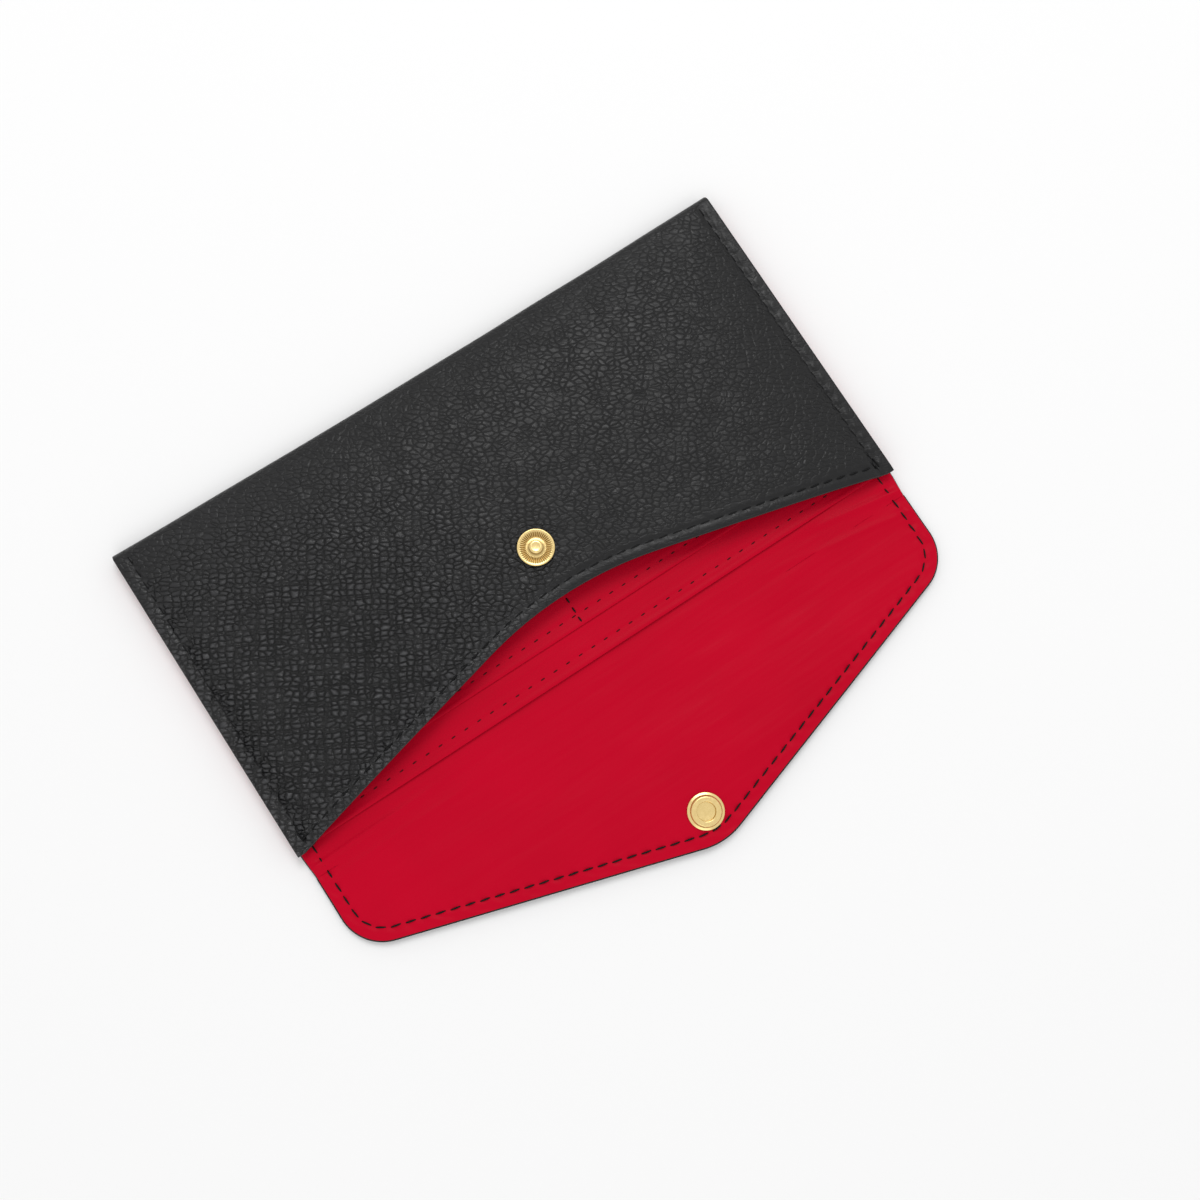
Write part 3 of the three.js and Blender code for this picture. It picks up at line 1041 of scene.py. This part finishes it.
def slot_sewing():
    """Rows along the edges of the panel and the slots, and the seam between the two columns."""
    rows, column = [], []
    reach = HALF_LENGTH - SEAM_INSET - 1
    for node in SLOT_NODES:
        edge = node_box(node)[0].y
        top = levels()[node] + sizes().slot_leather - 0.08
        seam = edge + SLOT_SEAM_INSET
        across = [Vector((x, seam, top + SLOT_CROWN * crown(x, edge))) for x in spread(-reach, reach, 2)]
        rows.append((walk(across, sizes().stitch_pitch, SLOT_STITCH), UP, 0.02))
        if node != "card_panel":
            down = [Vector((0, y, top + SLOT_CROWN)) for y in spread(edge + 0.6, edge + 9.5, 1)]
            column.append((walk(down, COLUMN_PITCH, COLUMN_STITCH), UP, 0.14))
    sewing("slot_stitching", BODY, rows, thread="shaded_slot_thread", thick=SLOT_THREAD)
    sewing("slot_column_stitching", BODY, column)


# Press stud


def turned_piece(name, profile, body, node, steps=96, shape=None, painted_shade=None):
    """A turned metal piece where its node stands, spun from its profile of radius and height."""
    bm = bmesh.new()
    chain = [bm.verts.new((radius, 0, height)) for radius, height in profile]
    edges = [bm.edges.new(pair) for pair in zip(chain, chain[1:])]
    whole_turn = {"cent": (0, 0, 0), "axis": UP, "angle": 2 * math.pi, "use_merge": True}
    bmesh.ops.spin(bm, geom=chain + edges, steps=steps, **whole_turn)
    bmesh.ops.remove_doubles(bm, verts=bm.verts, dist=1e-4)
    bmesh.ops.recalc_face_normals(bm, faces=bm.faces)
    # Painted shade: each point keeps the share of painted shade that darkens its colour
    if painted_shade:
        layer = bm.verts.layers.float.new("painted_shade")
        for vert in bm.verts:
            vert[layer] = painted_shade(vert.co)
    if shape:
        for vert in bm.verts:
            vert.co = shape(vert.co)
    low, high = node_box(node)
    middle = (low + high) / 2
    bmesh.ops.translate(bm, vec=(middle.x, middle.y, low.z), verts=bm.verts)
    new_piece(name, bm, body, ["brass"], [node], 32)


def height_of(node):
    low, high = node_box(node)
    return high.z - low.z


def rounded(corners, radius, steps=3):
    """A profile whose inner corners are rounded, each by no more than a third of its shorter side."""
    points = [Vector(corners[0])]
    for before, corner, after in zip(corners, corners[1:], corners[2:]):
        corner = Vector(corner)
        first, second = Vector(before) - corner, Vector(after) - corner
        reach = min(radius, first.length / 3, second.length / 3)
        start = corner + first.normalized() * reach
        end = corner + second.normalized() * reach
        for i in range(steps + 1):
            t = i / steps
            points.append(start.lerp(corner, t).lerp(corner.lerp(end, t), t))
    points.append(Vector(corners[-1]))
    return [tuple(p) for p in points]


def flute(co):
    """How high a flute stands at a place on the stud's ring, from -1 to 1, and 0 off the ring."""
    radius = math.hypot(co.x, co.y)
    low, high = FLUTED_RING
    share = smooth_step((radius - low) / 0.3) * smooth_step((high - radius) / 0.3)
    return share * math.cos(FLUTES * math.atan2(co.y, co.x)) if co.z > 0.2 else 0


def fluted(co):
    co.z += FLUTE_HEIGHT * flute(co)
    return co


def painted_shade_share(co):
    """How much painted shade darkens the stud at a place: under its head, in its bowl and between the flutes.
    """
    radius = math.hypot(co.x, co.y)
    neck = smooth_step((2.35 - radius) / 0.4) * smooth_step((1.1 - co.z) / 0.2) * smooth_step(co.z / 0.2)
    bowl = 0.25 * smooth_step((4.6 - radius) / 0.4)
    ring = 0.75 * max(-flute(co), 0) + bowl if co.z < 0.9 else 0
    return min(1, max(0.85 * neck, ring))


def press_stud():
    """Stud, rivet, cap, socket and spring ring of the press stud, each from radii and heights in mm."""
    stud = [
        (0, 0), (4.9, 0), (5.2, 0.25), (5.12, 0.6), (4.85, 0.72), (4.5, 0.62), (4.1, 0.5), (3.6, 0.42),
        (3.0, 0.38), (2.5, 0.4), (1.75, 0.5), (1.45, 0.7), (1.42, 0.9), (1.85, 1.05), (1.9, 1.3), (1.75, 1.5),
        (1.4, 1.6), (1.1, 1.59), (0.8, 1.52), (0, 1.5),
    ]
    turned_piece("press_stud", rounded(stud, 0.2, 2), BODY, "snap_stud", 360, fluted, painted_shade_share)
    top = height_of("stud_rivet")
    rivet = [(0, 0), (3.4, 0), (3.6, 0.15), (3.6, 0.35), (1.3, 0.35), (1.3, top), (0, top)]
    turned_piece("stud_rivet_turned", rounded(rivet, 0.1), BODY, "stud_rivet")
    top = height_of("snap_cap")
    cap = [
        (0, 0), (2.2, 0.02), (4.2, 0.12), (5.3, 0.35), (5.75, 0.7), (5.8, 0.95), (5.7, 1.1), (1.3, 1.1),
        (1.3, top), (0, top),
    ]
    turned_piece("press_cap", rounded(cap, 0.3, 4), FLAP, "snap_cap")
    socket = [
        (0, 0), (5.0, 0), (5.2, 0.12), (5.1, 0.35), (4.5, 0.5), (4.3, 0.7), (4.2, 1.35), (3.9, 1.6),
        (2.8, 1.6), (2.6, 1.45), (2.65, 1.3), (3.0, 1.2), (3.0, 0.25), (0, 0.25),
    ]
    turned_piece("press_socket", rounded(socket, 0.15), FLAP, "snap_socket")
    ring = [(2.675 + 0.17 * math.cos(a), 0.25 + 0.25 * math.sin(a)) for a in spread(0, 2 * math.pi, 0.6)]
    turned_piece("spring_ring", ring, FLAP, "socket_spring")


# Stage


def white_where_seen(tree, out_socket, lit):
    """Mixes a shader that lights the scene with plain white for what looks at it directly."""
    path = add_node(tree, "ShaderNodeLightPath").outputs
    seen = maths(tree, "MAXIMUM", path["Is Camera Ray"], path["Is Glossy Ray"])
    seen = maths(tree, "MAXIMUM", seen, path["Is Transmission Ray"])
    white = add_node(tree, "ShaderNodeBackground", Color=grey(1), Strength=1)
    links = {"Fac": seen, 1: lit, 2: white.outputs["Background"]}
    mix = add_node(tree, "ShaderNodeMixShader", links)
    tree.links.new(mix.outputs["Shader"], out_socket)


def stage():
    """A pale floor, soft light from above and a camera that looks down as in the photograph."""
    bm = bmesh.new()
    bmesh.ops.create_grid(bm, x_segments=1, y_segments=1, size=FLOOR_HALF)
    mesh = bpy.data.meshes.new("floor")
    bm.to_mesh(mesh)
    bm.free()
    floor = add_object("floor", mesh)
    material = new_material("matt_white_paper", colours().floor, 0.9, specular=0.1)[0]
    mesh.materials.append(material)

    world = bpy.data.worlds.new("studio")
    bpy.context.scene.world = world
    world.use_nodes = True
    background = world.node_tree.nodes["Background"]
    background.inputs["Color"].default_value = grey(1)
    background.inputs["Strength"].default_value = WORLD_LIGHT
    output = world.node_tree.nodes["World Output"]
    white_where_seen(world.node_tree, output.inputs["Surface"], background.outputs["Background"])

    for name, place, size, power in LAMPS:
        data = bpy.data.lights.new(name, "AREA")
        data.shape = "SQUARE"
        data.size = size
        data.energy = power
        lamp = add_object(name, data)
        lamp.location = place
        lamp.rotation_euler = (-Vector(place)).to_track_quat("-Z", "Y").to_euler()

    data = bpy.data.cameras.new("camera")
    data.sensor_width = SENSOR_WIDTH
    data.lens = CAMERA_LENS
    camera = add_object("camera", data)
    camera.location = CAMERA_PLACE
    camera.rotation_euler = Euler([math.radians(angle) for angle in CAMERA_TURN])
    bpy.context.scene.camera = camera
    bpy.context.scene.view_settings.view_transform = "Standard"


class WALLET_OT_body_leather(bpy.types.Operator):
    """Builds the outer leather of the body: back, bottom fold and front"""

    bl_idname = "wallet.body_leather"
    bl_label = "Body leather"

    def execute(self, context):
        body_leather()
        return {"FINISHED"}


class WALLET_OT_flap(bpy.types.Operator):
    """Builds the flap's leather and its red lining"""

    bl_idname = "wallet.flap"
    bl_label = "Flap"

    def execute(self, context):
        flap_pieces()
        return {"FINISHED"}


class WALLET_OT_linings(bpy.types.Operator):
    """Builds the front lining and the back lining"""

    bl_idname = "wallet.linings"
    bl_label = "Linings"

    def execute(self, context):
        linings()
        return {"FINISHED"}


class WALLET_OT_slots(bpy.types.Operator):
    """Builds the panel and its two rows of slots"""

    bl_idname = "wallet.slots"
    bl_label = "Card slots"

    def execute(self, context):
        slots()
        return {"FINISHED"}


class WALLET_OT_body_sewing(bpy.types.Operator):
    """Sews round the mouth and down both sides"""

    bl_idname = "wallet.body_sewing"
    bl_label = "Body sewing"

    def execute(self, context):
        body_sewing()
        return {"FINISHED"}


class WALLET_OT_flap_sewing(bpy.types.Operator):
    """Sews round the flap"""

    bl_idname = "wallet.flap_sewing"
    bl_label = "Flap sewing"

    def execute(self, context):
        flap_sewing()
        return {"FINISHED"}


class WALLET_OT_slot_sewing(bpy.types.Operator):
    """Sews the rows of slots"""

    bl_idname = "wallet.slot_sewing"
    bl_label = "Slot sewing"

    def execute(self, context):
        slot_sewing()
        return {"FINISHED"}


class WALLET_OT_press_stud(bpy.types.Operator):
    """Builds the stud, its rivet, the cap, the socket and its spring"""

    bl_idname = "wallet.press_stud"
    bl_label = "Press stud"

    def execute(self, context):
        press_stud()
        return {"FINISHED"}


class WALLET_OT_stage(bpy.types.Operator):
    """Sets up the floor, the light and the camera"""

    bl_idname = "wallet.stage"
    bl_label = "Stage"

    def execute(self, context):
        stage()
        return {"FINISHED"}


OPERATORS = [
    WALLET_OT_body_leather,
    WALLET_OT_flap,
    WALLET_OT_linings,
    WALLET_OT_slots,
    WALLET_OT_body_sewing,
    WALLET_OT_flap_sewing,
    WALLET_OT_slot_sewing,
    WALLET_OT_press_stud,
    WALLET_OT_stage,
]


class WALLET_PT_panel(bpy.types.Panel):
    """Lists the wallet's pieces, sizes and colours."""

    bl_label = "Envelope wallet"
    bl_space_type = "VIEW_3D"
    bl_region_type = "UI"
    bl_category = "Wallet"

    def draw(self, context):
        for group in (context.scene.wallet_sizes, context.scene.wallet_colours):
            for name in group.__annotations__:
                self.layout.prop(group, name)
        for operator in OPERATORS:
            self.layout.operator(operator.bl_idname)


CLASSES = [WalletSizes, WalletColours, *OPERATORS, WALLET_PT_panel]


def register():
    for each in CLASSES:
        bpy.utils.register_class(each)
    bpy.types.Scene.wallet_sizes = bpy.props.PointerProperty(type=WalletSizes)
    bpy.types.Scene.wallet_colours = bpy.props.PointerProperty(type=WalletColours)


def unregister():
    del bpy.types.Scene.wallet_colours
    del bpy.types.Scene.wallet_sizes
    for each in reversed(CLASSES):
        bpy.utils.unregister_class(each)


def main():
    register()
    for operator in OPERATORS:
        getattr(bpy.ops.wallet, operator.bl_idname.split(".")[1])()


if __name__ == "__main__":
    main()
